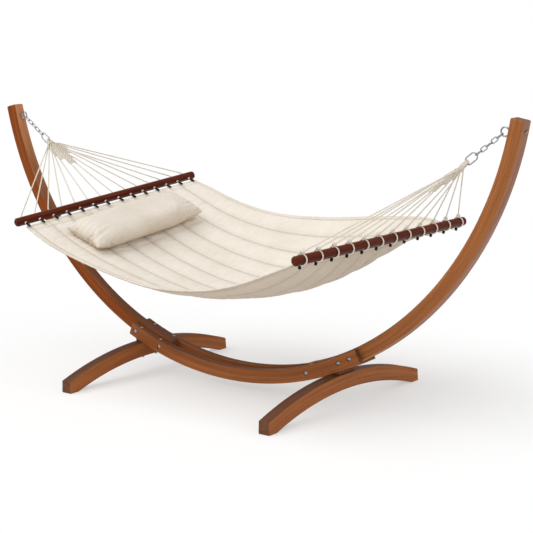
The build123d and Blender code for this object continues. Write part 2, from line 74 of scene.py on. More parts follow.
# ---------------- finishes
class Finish:
    """A material and short calls for its nodes."""

    def __init__(self, name, **settings):
        self.material = bpy.data.materials.new(name)
        self.material.use_nodes = True
        self.tree = self.material.node_tree
        self.shader = self.tree.nodes["Principled BSDF"]
        for socket, value in settings.items():
            self.shader.inputs[socket.replace("_", " ")].default_value = value

    def put(self, kind, inputs=(), **settings):
        node = self.tree.nodes.new("ShaderNode" + kind)
        for key, value in settings.items():
            setattr(node, key, value)
        for key, value in dict(inputs).items():
            if isinstance(value, bpy.types.NodeSocket):
                self.tree.links.new(value, node.inputs[key])
            else:
                node.inputs[key].default_value = value
        return node

    def math(self, operation, first, second=0.0):
        return self.put("Math", {0: first, 1: second}, operation=operation).outputs[0]

    def times(self, first, second):
        return self.math("MULTIPLY", first, second)

    def spot(self):
        """The shaded point in the object's own frame, which is the CAD frame."""
        return self.put("TexCoord").outputs["Object"]

    def place(self):
        """The shaded point's X, Y and Z as three values."""
        return self.put("SeparateXYZ", {0: self.spot()}).outputs

    def facing(self):
        """The surface normal's X, Y and Z as three values."""
        return self.put("SeparateXYZ", {0: self.put("NewGeometry").outputs["Normal"]}).outputs

    def vector(self, x, y, z):
        return self.put("CombineXYZ", {0: x, 1: y, 2: z}).outputs[0]

    def noise(self, vector, scale, detail, roughness=0.55):
        return self.put("TexNoise", {"Vector": vector, "Scale": scale, "Detail": detail,
                                     "Roughness": roughness}).outputs["Fac"]

    def streaky(self, values, factors, detail, roughness=0.55):
        """Noise over three values, each with its own scale."""
        scaled = self.vector(*[self.times(value, factor) for value, factor in zip(values, factors)])
        return self.noise(scaled, 1.0, detail, roughness)

    def ramp(self, value, *stops):
        """Value to colour through (place, (r, g, b)) stops."""
        node = self.put("ValToRGB", {0: value})
        while len(node.color_ramp.elements) < len(stops):
            node.color_ramp.elements.new(0.5)
        for element, (where, colour) in zip(node.color_ramp.elements, stops):
            element.position = where
            element.color = (*colour, 1)
        return node.outputs[0]

    def toned(self, value, places, tones):
        """Value to colour through one tone per place."""
        return self.ramp(value, *zip(places, tones))

    def blend(self, first, second, share):
        """The two values together, the first with weight `share`."""
        return self.math("ADD", self.times(first, share), self.times(second, 1 - share))

    def shaded(self, colour, value):
        """The colour times a grey value."""
        return self.mix(1.0, colour, self.vector(value, value, value), "MULTIPLY")

    def span(self, value, low, high, to_low=0.0, to_high=1.0):
        return self.put("MapRange", {0: value, 1: low, 2: high, 3: to_low, 4: to_high}).outputs[0]

    def mix(self, factor, first, second, blend="MIX"):
        node = self.put("Mix", data_type="RGBA", blend_type=blend)
        for key, value in ((0, factor), (6, first), (7, second)):
            if isinstance(value, bpy.types.NodeSocket):
                self.tree.links.new(value, node.inputs[key])
            else:
                node.inputs[key].default_value = value if key == 0 else (*value, 1)
        return node.outputs[2]

    def set(self, colour=None, roughness=None):
        for socket, value in (("Base Color", colour), ("Roughness", roughness)):
            if value is not None:
                self.tree.links.new(value, self.shader.inputs[socket])

    def bumps(self, *layers):
        """Bump layers of (height, strength, distance), the last on top."""
        normal = None
        for height, strength, distance in layers:
            inputs = {"Height": height, "Strength": strength, "Distance": distance}
            if normal is not None:
                inputs["Normal"] = normal
            normal = self.put("Bump", inputs).outputs[0]
        self.tree.links.new(normal, self.shader.inputs["Normal"])


GRAIN_PLACES = (0.30, 0.50, 0.70)
BOARD_SHIFT = 3.7                   # moves the grain of each board along, so that no two match
GLUE_LINE = (0.055, 0.020, 0.010)
WORN_EDGE = (0.52, 0.25, 0.11)
LOW_SHADE_FROM, LOW_SHADE_TO = 0.80, 1.32       # heights between which the painted shade of the low tones gives way to the top tones


def bent_timber(name, centre, radius, lateral, side_tones, top_tones, glue_pitch, low_shade_tones=None, gloss=0.20):
    """Laminated timber whose grain follows an arc in XZ (lateral "Y") or YZ (lateral "X").

    The side tones are for the two flat faces, the top tones for the curved ones; the low tones, when given,
    are painted shade low on the curved faces.
    """
    finish = Finish(name, Specular_IOR_Level=gloss)
    x, y, z = finish.place()
    run, across = (x, y) if lateral == "Y" else (y, x)
    du = finish.math("SUBTRACT", run, centre[0])
    dv = finish.math("SUBTRACT", centre[1], z) if lateral == "Y" else finish.math("SUBTRACT", z, centre[1])
    along = finish.times(finish.math("ARCTAN2", du, dv), radius)
    depth = finish.put("VectorMath", {0: finish.vector(du, dv, 0.0)}, operation="LENGTH").outputs["Value"]
    layer = finish.math("FLOOR", finish.math("DIVIDE", depth, glue_pitch))
    shifted = finish.math("ADD", along, finish.times(layer, BOARD_SHIFT))
    wander = finish.streaky((shifted, across, depth), (1.4, 5.0, 5.0), 2.0)
    bent_depth = finish.math("ADD", depth, finish.times(wander, 0.05))
    broad = finish.streaky((shifted, across, bent_depth), (1.6, 34.0, 52.0), 5.0, 0.6)
    streaks = finish.streaky((shifted, across, bent_depth), (5.0, 300.0, 380.0), 5.0, 0.7)
    pores = finish.streaky((shifted, across, depth), (38.0, 1500.0, 1500.0), 2.0, 0.6)
    grain = finish.blend(broad, streaks, 0.62)
    side = finish.toned(grain, GRAIN_PLACES, side_tones)
    top = finish.toned(grain, GRAIN_PLACES, top_tones)
    # Painted shade: the curved faces darken towards the bottom, where the bed shades the arm.
    if low_shade_tones:
        top = finish.mix(finish.span(z, LOW_SHADE_FROM, LOW_SHADE_TO), finish.toned(grain, GRAIN_PLACES, low_shade_tones), top)
    flat = finish.math("ABSOLUTE", finish.facing()[1 if lateral == "Y" else 0])
    colour = finish.mix(finish.span(flat, 0.45, 0.85), top, side)
    board = finish.put("TexWhiteNoise", {"W": layer}, noise_dimensions="1D").outputs["Value"]
    colour = finish.shaded(colour, finish.span(board, 0.0, 1.0, 0.86, 1.10))
    in_board = finish.math("FRACT", finish.math("DIVIDE", depth, glue_pitch))
    from_glue = finish.math("ABSOLUTE", finish.math("SUBTRACT", in_board, 0.5))
    glue = finish.span(from_glue, 0.455, 0.497)
    colour = finish.mix(finish.times(glue, 0.55), colour, GLUE_LINE)
    edge = finish.times(flat, finish.math("SUBTRACT", 1.0, flat))
    worn = finish.times(finish.span(edge, 0.12, 0.25), finish.span(broad, 0.42, 0.62, 0.0, 0.32))
    colour = finish.mix(worn, colour, WORN_EDGE)
    finish.set(colour, finish.span(streaks, 0.3, 0.7, 0.60, 0.46))
    finish.bumps((broad, 0.10, 0.003), (streaks, 0.22, 0.0008), (pores, 0.16, 0.0004))
    return finish.material


def straight_timber(name, tones, roughness, pores_depth):
    """Planed timber with its grain along Y, with painted light and shade: darker where it faces down, lighter
    where it faces up.
    """
    finish = Finish(name, Specular_IOR_Level=0.08)
    x, y, z = finish.place()
    wander = finish.streaky((x, y, z), (4.0, 1.5, 4.0), 2.0)
    bent = finish.math("ADD", z, finish.times(wander, 0.04))
    broad = finish.streaky((x, y, bent), (55.0, 2.4, 55.0), 5.0, 0.6)
    streaks = finish.streaky((x, y, bent), (420.0, 7.0, 420.0), 4.0, 0.7)
    pores = finish.streaky((x, y, z), (1500.0, 45.0, 1500.0), 2.0)
    colour = finish.toned(finish.blend(broad, streaks, 0.6), (0.32, 0.50, 0.70), tones)
    # Painted light and shade: the colour is scaled by the normal's Z, from 0.5 facing down to 1.3 facing up.
    finish.set(finish.shaded(colour, finish.span(finish.facing()[2], -1.0, 1.0, 0.50, 1.30)),
               finish.span(streaks, 0.3, 0.7, roughness + 0.08, roughness - 0.06))
    finish.bumps((streaks, 0.2, 0.0006), (pores, pores_depth, 0.0003))
    return finish.material


def zinc_steel():
    """Zinc-plated steel, with its spangle and fine scratches."""
    finish = Finish("zinc_plate", Metallic=1.0, Specular_IOR_Level=0.5)
    place = finish.spot()
    cloud = finish.noise(place, 90.0, 4.0)
    spangle = finish.put("TexVoronoi", {"Vector": place, "Scale": 420.0}).outputs["Distance"]
    scratch = finish.streaky(finish.place(), (900.0, 120.0, 900.0), 3.0)
    colour = finish.ramp(cloud, (0.3, (0.27, 0.28, 0.29)), (0.7, (0.50, 0.51, 0.52)))
    finish.set(colour, finish.span(cloud, 0.3, 0.7, 0.40, 0.24))
    finish.bumps((spangle, 0.08, 0.0004), (scratch, 0.12, 0.0002))
    return finish.material


SEAM_PITCH = 0.14
SEAM_SHADE_TONE = (0.40, 0.34, 0.27)
CLOTH_DRIFT = 0.004                 # how far the yarns wander from straight
CREASE_SHADE = (0.0010, 0.0070, 0.22)     # painted shade along the sewn line: full to here, gone by here, strength
HOLLOW_SHADE = (0.0, 0.032, 0.17)         # painted shade in the wide hollow beside it


def woven(name, tones, pitch, weave_strength, sheen, slub_strength, below, seams=False):
    """Plain-weave cloth, with painted shade where it faces down.

    The painted shade is given as the normal's Z where it is full, the Z where it ends, and the colour that it
    multiplies by.
    """
    finish = Finish(name, Specular_IOR_Level=0.25, Sheen_Weight=sheen, Sheen_Roughness=0.5)
    x, y, z = finish.place()
    down = finish.math("ADD", x, finish.times(z, 0.35))
    drift = finish.times(finish.streaky((x, y, z), (9.0, 9.0, 9.0), 2.0), CLOTH_DRIFT)
    waves = [finish.math("SINE", finish.times(finish.math("ADD", value, drift), 2 * math.pi / pitch))
             for value in (down, y)]
    over = finish.times(*waves)
    weave = finish.math("ADD", finish.times(over, 0.5), 0.5)
    warp = finish.streaky((x, y, z), (18.0, 900.0, 300.0), 3.0, 0.6)
    weft = finish.streaky((x, y, z), (900.0, 18.0, 300.0), 3.0, 0.6)
    slubs = finish.times(finish.math("ADD", warp, weft), 0.5)
    mottle = finish.streaky((x, y, z), (6.0, 6.0, 6.0), 4.0)
    colour = finish.toned(finish.blend(slubs, mottle, 0.72), (0.36, 0.50, 0.64), tones)
    colour = finish.shaded(colour, finish.span(weave, 0.0, 0.30, 0.86, 1.0))
    # Painted shade: the cloth is darker where it faces down.
    low, high, shade_tint = below
    upwards = finish.span(finish.facing()[2], low, high)
    colour = finish.mix(upwards, finish.mix(1.0, colour, shade_tint, "MULTIPLY"), colour)
    # Painted shade: the cloth darkens along each sewn line and in the hollow beside it.
    if seams:
        turn = finish.math("FRACT", finish.math("ADD", finish.math("DIVIDE", y, SEAM_PITCH), 10.0))
        from_middle = finish.math("ABSOLUTE", finish.math("SUBTRACT", turn, 0.5))
        from_seam = finish.times(from_middle, SEAM_PITCH)
        groove = finish.math("ADD", *[finish.span(from_seam, full, gone, strength, 0.0)
                                      for full, gone, strength in (CREASE_SHADE, HOLLOW_SHADE)])
        colour = finish.mix(groove, colour, SEAM_SHADE_TONE)
    finish.set(colour, finish.span(slubs, 0.3, 0.7, 0.92, 0.80))
    finish.bumps((mottle, 0.10, 0.004), (slubs, slub_strength, 0.0012), (weave, weave_strength, 0.0005))
    return finish.material


BRAID_STRANDS, BRAID_PITCH = 4.0, 0.011


def braided(name, tones):
    """Braided cord: diagonal strands worked out from each piece's own lay attribute."""
    finish = Finish(name, Specular_IOR_Level=0.3, Sheen_Weight=0.25, Sheen_Roughness=0.4)
    lay = finish.put("Attribute", attribute_name="lay").outputs["Vector"]
    lay = finish.put("SeparateXYZ", {0: lay}).outputs
    turns = finish.times(lay[0], BRAID_STRANDS)
    steps = finish.times(lay[1], 1 / BRAID_PITCH)
    strands = []
    for kind in ("ADD", "SUBTRACT"):
        phase = finish.math(kind, turns, steps)
        strands.append(finish.math("SINE", finish.times(phase, 2 * math.pi)))
    braid = finish.math("MAXIMUM", *strands)
    fuzz = finish.noise(finish.spot(), 1400.0, 3.0)
    dirt = finish.noise(finish.spot(), 14.0, 3.0)
    # Painted shade: the cord is darker in the grooves between its strands, and the dirt noise adds grime.
    strand_shade_and_dirt = finish.math("ADD", finish.span(braid, -0.6, 1.0, 0.25, 0.65),
                        finish.span(dirt, 0.3, 0.7, -0.08, 0.12))
    finish.set(finish.toned(strand_shade_and_dirt, (0.15, 0.50, 0.80), tones), finish.span(fuzz, 0.3, 0.7, 0.9, 0.75))
    finish.bumps((braid, 0.55, 0.0007), (fuzz, 0.25, 0.0003))
    return finish.material


def moulded(name, tones):
    """Dark moulded plastic, rubbed lighter in places."""
    finish = Finish(name, Specular_IOR_Level=0.10)
    place = finish.spot()
    fine = finish.noise(place, 900.0, 3.0)
    rubbed = finish.noise(place, 60.0, 4.0)
    finish.set(finish.toned(rubbed, (0.35, 0.52, 0.75), tones), finish.span(rubbed, 0.3, 0.7, 0.65, 0.5))
    finish.bumps((fine, 0.15, 0.0002))
    return finish.material


SIDE_TONES = ((0.195, 0.056, 0.012), (0.315, 0.096, 0.021), (0.440, 0.150, 0.038))
TOP_TONES = ((0.082, 0.030, 0.014), (0.135, 0.050, 0.022), (0.210, 0.080, 0.034))
# Painted light and shade: both arms are one timber, but each arm's face and side tones are set lighter or
# darker by how light falls on that face, and the left arm's low tones are painted shade.
LEFT_FACE_LIT_TONES = ((0.380, 0.150, 0.062), (0.560, 0.235, 0.105), (0.720, 0.340, 0.170))
LEFT_LOW_SHADE_TONES = ((0.115, 0.040, 0.018), (0.190, 0.070, 0.032), (0.270, 0.110, 0.054))
LEFT_SIDE_LIT_TONES = ((0.160, 0.032, 0.0035), (0.260, 0.058, 0.006), (0.370, 0.100, 0.014))
RIGHT_FACE_SHADED_TONES = ((0.150, 0.064, 0.036), (0.250, 0.112, 0.066), (0.360, 0.175, 0.110))
RIGHT_SIDE_LIT_TONES = ((0.225, 0.070, 0.017), (0.355, 0.118, 0.030), (0.470, 0.175, 0.050))
ARM_ARC = 1.631
ARM_BOARD, BEAM_BOARD, FOOT_BOARD = 0.0237, 0.0240, 0.0253
left_arm_wood = bent_timber("left_arm_timber_painted_light", (-0.032, 1.726), ARM_ARC, "Y", LEFT_SIDE_LIT_TONES,
                            LEFT_FACE_LIT_TONES, ARM_BOARD, LEFT_LOW_SHADE_TONES, 0.10)
right_arm_wood = bent_timber("right_arm_timber_painted_light", (0.032, 1.726), ARM_ARC, "Y", RIGHT_SIDE_LIT_TONES,
                             RIGHT_FACE_SHADED_TONES, ARM_BOARD)
beam_wood = bent_timber("beam_timber", (0.0, 1.812), 1.731, "Y", SIDE_TONES, TOP_TONES, BEAM_BOARD)
foot_wood = bent_timber("foot_timber", (0.0, -1.598), 1.726, "X", SIDE_TONES, TOP_TONES, FOOT_BOARD)
MAHOGANY = ((0.045, 0.0066, 0.0022), (0.090, 0.0145, 0.0045), (0.150, 0.028, 0.0090))
bar_wood = straight_timber("bar_mahogany", MAHOGANY, 0.34, 0.12)
BIRCH = ((0.36, 0.24, 0.13), (0.52, 0.37, 0.22), (0.66, 0.50, 0.32))
dowel_wood = straight_timber("dowel_birch", BIRCH, 0.6, 0.2)
wedge_wood = straight_timber("wedge_timber", TOP_TONES, 0.5, 0.12)
steel = zinc_steel()
CREAM = ((0.740, 0.660, 0.555), (0.835, 0.765, 0.670), (0.900, 0.840, 0.760))
PILLOW_CREAM = ((0.680, 0.600, 0.500), (0.775, 0.700, 0.605), (0.845, 0.780, 0.695))
TAPE_CREAM = ((0.66, 0.585, 0.48), (0.77, 0.70, 0.60), (0.84, 0.78, 0.69))
# Painted shade under the cloth and under the pillow: normal's Z where full, Z where gone, and shade colour.
UNDERSIDE_SHADE = (-0.25, 0.20, (0.70, 0.64, 0.57))
PILLOW_UNDERSIDE_SHADE = (-0.9, 0.85, (0.80, 0.74, 0.66))
bed_cloth = woven("bed_cloth", CREAM, 0.0024, 0.45, 0.12, 0.35, UNDERSIDE_SHADE, seams=True)
hem_cloth = woven("hem_cloth", CREAM, 0.0024, 0.45, 0.12, 0.35, UNDERSIDE_SHADE)
pillow_cloth = woven("pillow_cloth", PILLOW_CREAM, 0.0021, 0.40, 0.15, 0.30, PILLOW_UNDERSIDE_SHADE)
tape_cloth = woven("tape_cloth", TAPE_CREAM, 0.0017, 0.5, 0.12, 0.4, UNDERSIDE_SHADE)
thread = braided("sewing_thread", ((0.40, 0.33, 0.24), (0.52, 0.44, 0.33), (0.62, 0.54, 0.42)))
cord_finish = braided("cord_braid", ((0.50, 0.43, 0.33), (0.74, 0.67, 0.56), (0.86, 0.80, 0.71)))
TOGGLE_BROWN = ((0.006, 0.004, 0.003), (0.013, 0.009, 0.006), (0.040, 0.029, 0.021))
toggle_finish = moulded("toggle_moulding", TOGGLE_BROWN)

for name, node in nodes.items():
    material = steel
    for part, finish in (("left_arm", left_arm_wood), ("right_arm", right_arm_wood), ("_beam", beam_wood),
                         ("_foot", foot_wood), ("_wedge", wedge_wood), ("spreader_bar", bar_wood),
                         ("dowel", dowel_wood)):
        if name.endswith(part):
            material = finish
    node.data.materials.clear()
    node.data.materials.append(material)


# ---------------- meshes
OBLIQUE = (0.31, 0.17, 0.93)        # no tube starts in this direction
SMALLEST_STEP = 0.0004


def unit(vector):
    return np.asarray(vector, float) / np.linalg.norm(vector)


def directions(path):
    """Unit direction of a path at each of its points."""
    ahead = np.gradient(path, axis=0)
    return ahead / np.linalg.norm(ahead, axis=1)[:, None]


def skin(rings, sides):
    """Faces of a closed skin over equal rings of points, with its two ends."""
    last = (rings - 1) * sides
    faces = [(k + a, k + (a + 1) % sides, k + sides + (a + 1) % sides, k + sides + a)
             for k in range(0, last, sides) for a in range(sides)]
    return faces + [tuple(range(sides))[::-1], tuple(range(last, last + sides))]


class Shape:
    """Vertices, faces and cord lay gathered for one piece."""

    def __init__(self):
        self.points, self.faces, self.lay, self.count = [], [], [], 0

    def add(self, points, faces, lay=None):
        points = np.asarray(points, float)
        self.points.append(points)
        self.lay.append(np.zeros_like(points) if lay is None else lay)
        self.faces.extend([tuple(int(i) + self.count for i in face) for face in faces])
        self.count += len(points)

    def tube(self, path, radius, sides=10):
        """A closed round tube along a path; radius is one number or one per point."""
        path = np.asarray(path, float)
        size = np.broadcast_to(np.asarray(radius, float), (len(path),))
        ahead = directions(path)
        side = np.cross(ahead[0], OBLIQUE)
        rings = np.linspace(0, 2 * math.pi, sides, endpoint=False)
        points, lay, walked = [], [], 0.0
        for i, (here, way) in enumerate(zip(path, ahead)):
            side = side - way * np.dot(side, way)
            side /= np.linalg.norm(side)
            up = np.cross(way, side)
            if i:
                walked += np.linalg.norm(here - path[i - 1])
            for angle in rings:
                points.append(here + size[i] * (math.cos(angle) * side + math.sin(angle) * up))
                lay.append((angle / (2 * math.pi), walked, 0.0))
        self.add(points, skin(len(path), sides), lay)

    def lathe(self, profile, foot, way, sides=16):
        """A turned solid: (distance along, radius) pairs from `foot` in unit direction `way`."""
        self.tube([foot + way * a for a, _ in profile], [r for _, r in profile], sides)

    def piece(self, name, body, material, slot, *replaced):
        """What has been gathered, as one finished piece."""
        mesh = bpy.data.meshes.new(name)
        mesh.from_pydata(np.concatenate(self.points).tolist(), [], self.faces)
        mesh.attributes.new("lay", "FLOAT_VECTOR", "POINT").data.foreach_set(
            "vector", np.concatenate(self.lay).astype(np.float32).ravel())
        return finished(bpy.data.objects.new(name, mesh), body, material, slot, *replaced)


def finished(piece, body, material, slot, *replaced):
    """Gives a piece its material and body, and hides the CAD nodes that it stands for. The slot is not used.
    """
    if not piece.users_collection:
        bpy.context.scene.collection.objects.link(piece)
    piece.data.materials.clear()
    piece.data.materials.append(material)
    piece.data.polygons.foreach_set("use_smooth", [True] * len(piece.data.polygons))
    piece.data.update()
    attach(piece, body)
    if replaced:
        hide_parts(*replaced)
    return piece


def rounded(corners, bend, steps=5):
    """A path through corners, each rounded off within `bend` of it."""
    corners = [np.asarray(c, float) for c in corners]
    path = [corners[0]]
    for before, here, after in zip(corners, corners[1:], corners[2:]):
        back, on = before - here, after - here
        reach = min(bend, 0.49 * np.linalg.norm(back), 0.49 * np.linalg.norm(on))
        start = here + back / np.linalg.norm(back) * reach
        end = here + on / np.linalg.norm(on) * reach
        for t in np.linspace(0, 1, steps):
            path.append((1 - t) ** 2 * start + 2 * t * (1 - t) * here + t * t * end)
    path.append(corners[-1])
    keep = [path[0]]
    for point in path[1:]:
        if np.linalg.norm(point - keep[-1]) > SMALLEST_STEP:
            keep.append(point)
    return keep


# ---------------- spreader bars
BAR_FLATS = 0.0210          # middle line to each of the eight flats
BAR_BEVEL = 0.0012
BAR_CHAMFER = 0.009


def eight_sided(flats):
    """Points of an octagon whose corners are cut by a small flat."""
    cut = BAR_BEVEL / flats
    corner = flats / math.cos(math.pi / 8) * (1 - cut * 0.35)
    turns = [a + s * cut for a in np.arange(8) * math.pi / 4 + math.pi / 8 for s in (-1, 1)]
    return [(corner * math.cos(turn), corner * math.sin(turn)) for turn in turns]


def spreader_bar(name, bar, roll, length):
    """An eight-sided bar along Y with its ends chamfered."""
    along_bar = np.array((0, math.cos(roll), math.sin(roll)))
    lift = np.array((0, -math.sin(roll), math.cos(roll)))
    middle, shape = np.array((bar[0], 0, bar[1])), Shape()
    rings = [(-length / 2, BAR_FLATS - BAR_CHAMFER), (BAR_CHAMFER - length / 2, BAR_FLATS),
             (length / 2 - BAR_CHAMFER, BAR_FLATS), (length / 2, BAR_FLATS - BAR_CHAMFER)]
    points = [middle + along_bar * place + np.array((a, 0, 0)) + lift * b
              for place, flats in rings for a, b in eight_sided(flats)]
    shape.add(points, [face[::-1] for face in skin(len(rings), len(points) // len(rings))])
    piece = shape.piece(name, "hammock", bar_wood, "bar_timber", name.replace("stained", "spreader"))
    piece.data.polygons.foreach_set("use_smooth", [False] * len(piece.data.polygons))


spreader_bar("left_stained_bar", LEFT_BAR, LEFT_BAR_ROLL, LEFT_BAR_LENGTH)
spreader_bar("right_stained_bar", RIGHT_BAR, 0.0, RIGHT_BAR_LENGTH)

# ---------------- cords, clews and toggles
ACROSS = np.array((0.0, 1.0, 0.0))


class Fan:
    """One end's cords: from the ring, through the woven clew, to the bar."""

    def __init__(self, apex, bar):
        self.apex = np.array(apex)
        self.fall = unit(np.array((bar[0], 0, bar[1])) - self.apex)
        self.normal = np.cross(ACROSS, self.fall)

    def at(self, along, across, lift):
        return self.apex + self.fall * along + ACROSS * across + self.normal * lift

    def on_line(self, start, target, along):
        """The point of the line from start to target at a distance `along` from the ring."""
        begin, end = np.dot(start - self.apex, self.fall), np.dot(target - self.apex, self.fall)
        return start + (target - start) * (along - begin) / (end - begin)


WEAVE_LIFT = 0.0027
ROW_PITCH = 0.0085
NECK_LAYER, LOOP_LAYER = 0.0052, 0.0058     # between the three layers of cord in the neck, and on the ring
LOOP_FIRST, LOOP_STEP = 0.0066, 0.0043      # half width of the innermost loop, and of each further one
CORD_BEND, WEFT_BEND = 0.012, 0.006
WEFT_RADIUS = 0.0027
WEFT_TURN = 0.0055                          # how far the weft passes the outer cord


def clew_rows(first, counts):
    """(distance from the ring, outermost cord still woven) of each weft row."""
    outer = [k for k, count in enumerate(counts) for _ in range(count)]
    return [(first + ROW_PITCH * r, k) for r, k in enumerate(outer)]


def hang(fan, targets, tails, rows, neck_end, neck_width, cords, wefts):
    """Adds each pair of cords as one loop over the ring, and the weft that binds them."""
    count = len(targets)
    pairs = count // 2
    starts = []
    for i in range(count):
        k = min(i, count - 1 - i)
        way = -1 if i < pairs else 1
        spread = 0.18 + 0.82 * (pairs - 1 - k) / (pairs - 1)
        starts.append(fan.at(neck_end, way * neck_width * spread, ((k % 3) - 1) * NECK_LAYER))
    crossings = {}
    for i in range(count):
        k = min(i, count - 1 - i)
        for r, (along, outer) in enumerate(rows):
            if outer <= k:
                crossings[i, r] = fan.on_line(starts[i], targets[i], along)
    for k in range(pairs):
        loop = LOOP_FIRST + LOOP_STEP * ((pairs - 1 - k) // 3)
        lift = ((k % 3) - 1) * LOOP_LAYER
        halves = []
        for i, way in ((k, -1), (count - 1 - k, 1)):
            corners = list(tails[i][::-1]) + [targets[i]]
            for r in reversed(range(len(rows))):
                if (i, r) in crossings:
                    sign = 1 if (i + r) % 2 else -1
                    corners.append(crossings[i, r] + fan.normal * WEAVE_LIFT * sign)
            corners += [starts[i], fan.at(0.006, way * loop, lift),
                        fan.at(-0.7 * loop, way * 0.8 * loop, lift)]
            halves.append(corners)
        path = rounded(halves[0] + [fan.at(-loop - 0.0015, 0, lift)] + halves[1][::-1], CORD_BEND)
        cords.tube(path, CORD_RADIUS, 10)
    weft, forward = [], True
    for r, (_, outer) in enumerate(rows):
        order = list(range(outer, count - outer))
        if not forward:
            order.reverse()
        way = 1 if forward else -1
        first, last = crossings[order[0], r], crossings[order[-1], r]
        weft.append(first - ACROSS * way * WEFT_TURN)
        for i in order:
            sign = 1 if (i + r) % 2 else -1
            weft.append(crossings[i, r] - fan.normal * WEAVE_LIFT * sign)
        weft.append(last + ACROSS * way * WEFT_TURN)
        forward = not forward
    wefts.tube(rounded(weft, WEFT_BEND, 4), WEFT_RADIUS, 8)


def whipping(fan, start, end, half_width, half_depth, wire):
    """Close turns of cord round the neck."""
    turns = (end - start) / (2.02 * wire)
    angles = np.linspace(0, 2 * math.pi * turns, int(turns * 20))
    swell = 1 + 0.08 * np.sin(np.linspace(0, math.pi, len(angles)))
    return [fan.at(start + (end - start) * a / angles[-1], s * half_width * math.cos(a),
                   s * half_depth * math.sin(a)) for a, s in zip(angles, swell)]


def around(bar, angle, radius, y):
    """A point round a bar's middle line, at an angle from +X towards +Z."""
    turn = math.radians(angle)
    return np.array((bar[0] + radius * math.cos(turn), y, bar[1] + radius * math.sin(turn)))


# Distance along and radius of a toggle's end.
TOGGLE = [(0.0, 0.0032), (0.0006, 0.0050), (0.0022, 0.0062), (0.0046, 0.0062), (0.0056, 0.0054),
          (0.0066, 0.0054), (0.0076, 0.0061)]
TOGGLE_WAIST = 0.0065
THIN_CORD = 0.0017


def toggle_profile(length, thickness):
    """Barrel with a collar and a groove at each end."""
    profile = TOGGLE + [(length / 2, TOGGLE_WAIST)] + [(length - a, r) for a, r in reversed(TOGGLE)]
    return [(a, thickness * r) for a, r in profile]


def hem_loop(loops, toggle_end, hem, y):
    """Thin cord from a toggle round the dowel in the hem and back."""
    way = math.degrees(math.atan2(toggle_end[2] - hem[1], toggle_end[0] - hem[0]))
    corners = [toggle_end]
    for turn in (62, 105, 145, 180, 215, 255, 298):
        corners.append(around(hem, way + turn, HEM_RADIUS + THIN_CORD + 0.0005, y))
    corners.append(toggle_end)
    loops.tube(rounded(corners, 0.006, 4), THIN_CORD, 8)


def end_pieces(side):
    """Makes the pieces of one end from what has been gathered for it."""
    cords.piece(side + "suspension_cords", "hammock", cord_finish, "cord", side + "cords")
    wefts.piece(side + "clew_weaving", "hammock", cord_finish, "cord", side + "clew")
    toggles.piece(side + "toggle_row", "hammock", toggle_finish, "toggle_plastic", side + "toggles")
    loops.piece(side + "hem_loops", "hammock", cord_finish, "cord")


left_fan = Fan(LEFT_APEX, LEFT_BAR)
right_fan = Fan(RIGHT_APEX, RIGHT_BAR)
left_places = np.linspace(-LEFT_REACH, LEFT_REACH, LEFT_COUNT)
right_places = np.linspace(-RIGHT_REACH, RIGHT_REACH, RIGHT_COUNT)

# Left end: each cord goes through the bar and ends in a toggle that holds the hem.
LEFT_TOGGLE_LENGTH, LEFT_TOGGLE_THICKNESS = 0.035, 0.92
LEFT_KNOT_PARTS = (0.4, 2.5, 4.6)       # angles of the lumps of the knot before each toggle
NEAREST_LOOP = -0.623
SLACK = 0.0025
# Along the cords past the hole in the bar, and below them.
BAR_EXIT, TOGGLE_TOP, TOGGLE_TIP = (0.0205, 0.002), (0.035, 0.011), (0.070, 0.019)


def past_bar(hole, along, below, aside):
    return hole + left_fan.fall * along - left_fan.normal * below + ACROSS * aside


cords, wefts, toggles, loops = Shape(), Shape(), Shape(), Shape()
targets, tails = [], []
for place in left_places:
    hole = np.array((LEFT_BAR[0], place * math.cos(LEFT_BAR_ROLL),
                     LEFT_BAR[1] + place * math.sin(LEFT_BAR_ROLL)))
    targets.append(hole - left_fan.fall * 0.034)
    slack = rng.uniform(-SLACK, SLACK)
    nearer = -0.013 + 0.007 * place / LEFT_REACH
    out = past_bar(hole, *BAR_EXIT, 0.7 * nearer)
    toggle_from = past_bar(hole, *TOGGLE_TOP, slack + nearer)
    way = unit(past_bar(hole, *TOGGLE_TIP, 2 * slack + 1.3 * nearer) - toggle_from)
    tails.append([out, out + (toggle_from - out) * 0.5 - left_fan.normal * 0.003, toggle_from + way * 0.004])
    cords.tube([out - left_fan.fall * 0.003, (out + toggle_from) / 2 - left_fan.normal * 0.003,
                toggle_from + way * 0.002], [0.0042, 0.0050, 0.0042], 10)
    knot = toggle_from - way * 0.006
    for turn in LEFT_KNOT_PARTS:
        sideways = ACROSS * math.cos(turn) + left_fan.normal * math.sin(turn)
        cords.tube([knot + 0.0030 * sideways - way * 0.004, knot + 0.0042 * sideways,
                    knot + 0.0030 * sideways + way * 0.005], [0.0022, 0.0034, 0.0022], 8)
    toggles.lathe(toggle_profile(LEFT_TOGGLE_LENGTH, LEFT_TOGGLE_THICKNESS), toggle_from, way)
    hem = (LEFT_HEM[0], LEFT_HEM[1] + hole[1] * math.tan(LEFT_BAR_ROLL))
    hem_loop(loops, toggle_from + way * 0.022, hem, max(hole[1] + slack + 1.2 * nearer, NEAREST_LOOP))
hang(left_fan, targets, tails, clew_rows(0.028, (2, 1, 2, 3, 4, 5, 6)), 0.018, 0.0165, cords, wefts)
wefts.tube(whipping(left_fan, 0.0095, 0.0225, 0.0185, 0.0105, 0.0021), 0.0021, 8)
end_pieces("left_")

# Right end: each cord turns round the bar and is knotted to itself above it.
RIGHT_TOGGLE_LENGTH, RIGHT_TOGGLE_THICKNESS = 0.021, 1.12
WRAP = 0.0262
